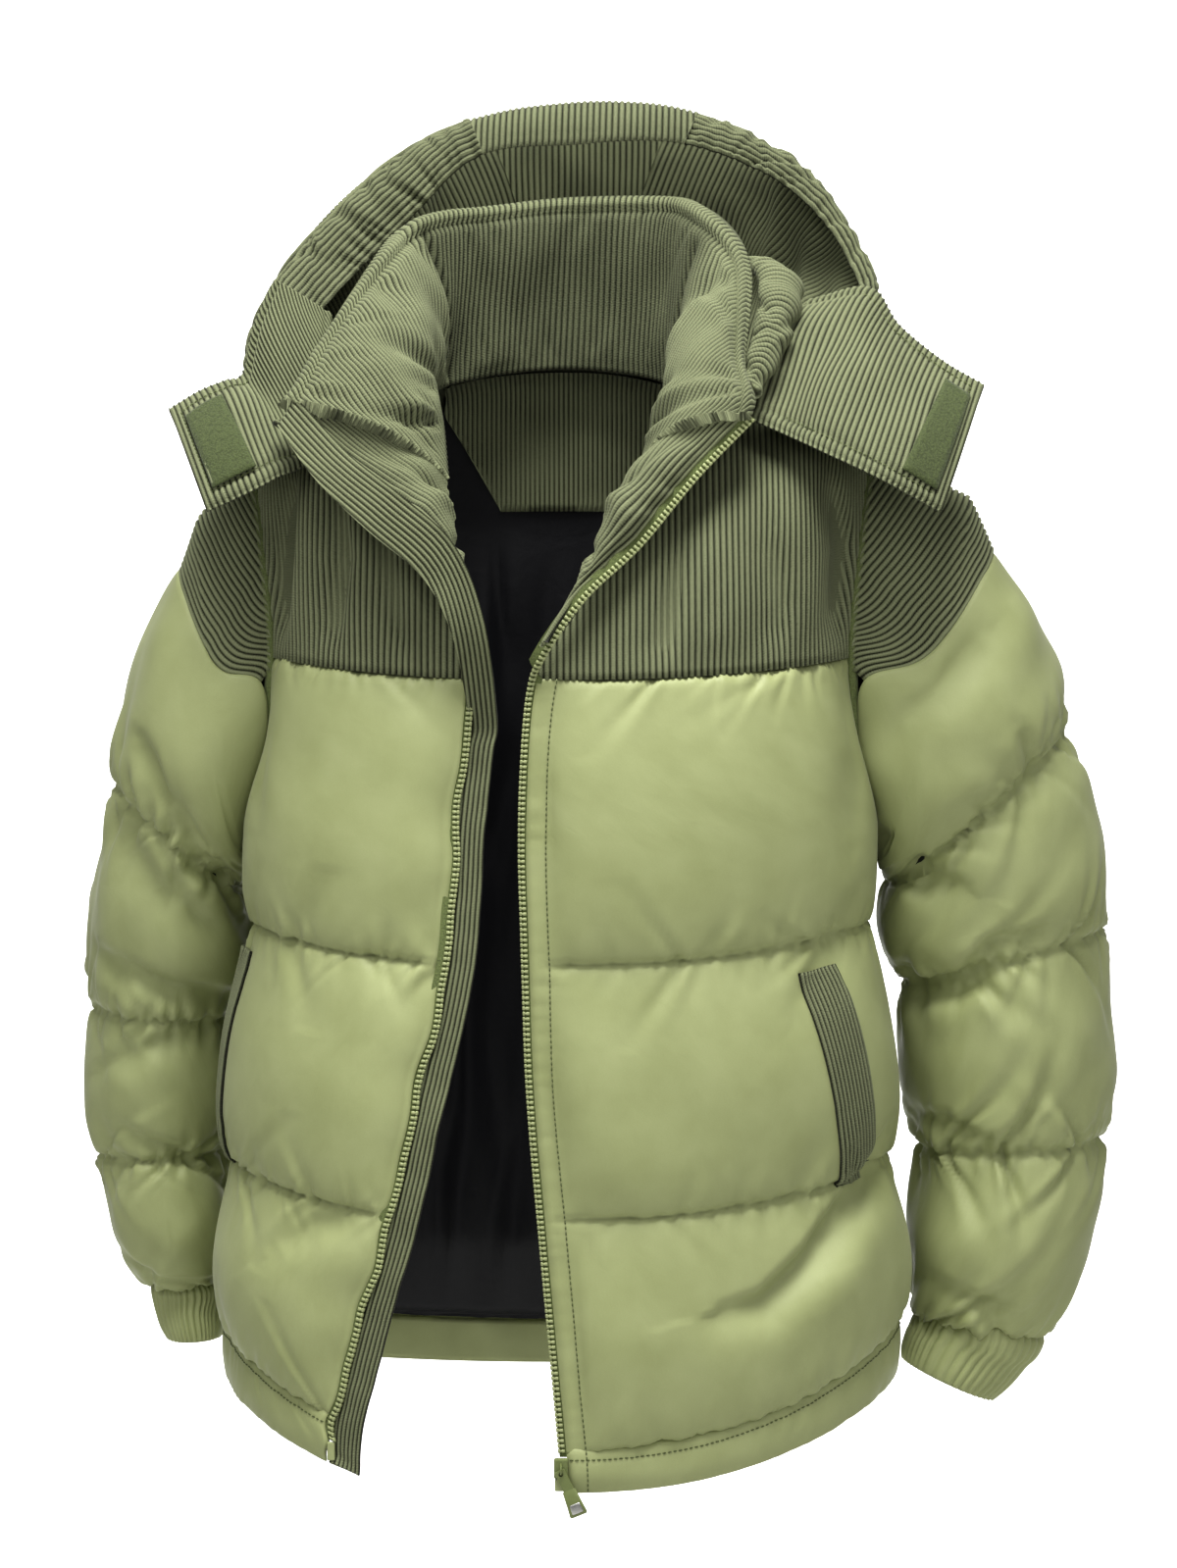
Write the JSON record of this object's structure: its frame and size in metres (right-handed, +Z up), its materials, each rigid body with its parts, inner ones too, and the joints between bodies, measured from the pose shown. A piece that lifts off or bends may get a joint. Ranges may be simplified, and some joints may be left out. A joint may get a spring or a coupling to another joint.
{
  "type": "hooded puffer jacket",
  "caption": "Hooded puffer jacket in sage green satin and wide-wale corduroy, worn open and hollow, with a stand collar turned out as lapels.",
  "frame": {"origin": "middle between the shoulders, inside the neck opening, where the wearer's shoulders hold the jacket up", "axes": "+Z up, -Y towards the open front, +X towards the wearer's left sleeve"},
  "size_m": [0.7099, 0.3702, 0.9303],
  "materials": {
    "satin": "satin",
    "corduroy": "matte",
    "lining": "satin",
    "hook_and_loop": "matte",
    "zip_teeth": "satin",
    "painted_zinc": "satin"
  },
  "bodies": {
    "jacket": {"back_panel": "satin", "back_yoke": "corduroy", "collar": "corduroy", "cuff_left": "satin", "cuff_right": "satin", "facing_left": "corduroy", "facing_right": "corduroy", "front_left": "satin", "front_right": "satin", "front_yoke_left": "corduroy", "front_yoke_right": "corduroy", "hem_back": "satin", "hem_facing": "satin", "hem_left": "satin", "hem_right": "satin", "hood_band": "corduroy", "hood_centre": "corduroy", "hood_flap_left": "corduroy", "hood_flap_right": "corduroy", "hood_side_left": "corduroy", "hood_side_right": "corduroy", "hook_patch": "hook_and_loop", "lining_back": "lining", "loop_patch": "hook_and_loop", "neck_facing": "corduroy", "pocket_welt_left": "corduroy", "pocket_welt_right": "corduroy", "sleeve_cap_left": "corduroy", "sleeve_cap_right": "corduroy", "sleeve_left": "satin", "sleeve_right": "satin", "slider": "painted_zinc", "wind_flap": "corduroy", "zip_box": "zip_teeth", "zip_pin": "zip_teeth", "zip_teeth_left": "zip_teeth", "zip_teeth_right": "zip_teeth"},
    "pull_tab": {"pull_tab": "painted_zinc"}
  },
  "joints": [
    {"name": "pull_tab_swing", "type": "hinge", "parent": "jacket", "child": "pull_tab", "pos_m": [-0.0179, -0.1639, -0.699], "axis": [-1, 0, 0], "range_deg": [0, 135]}
  ]
}
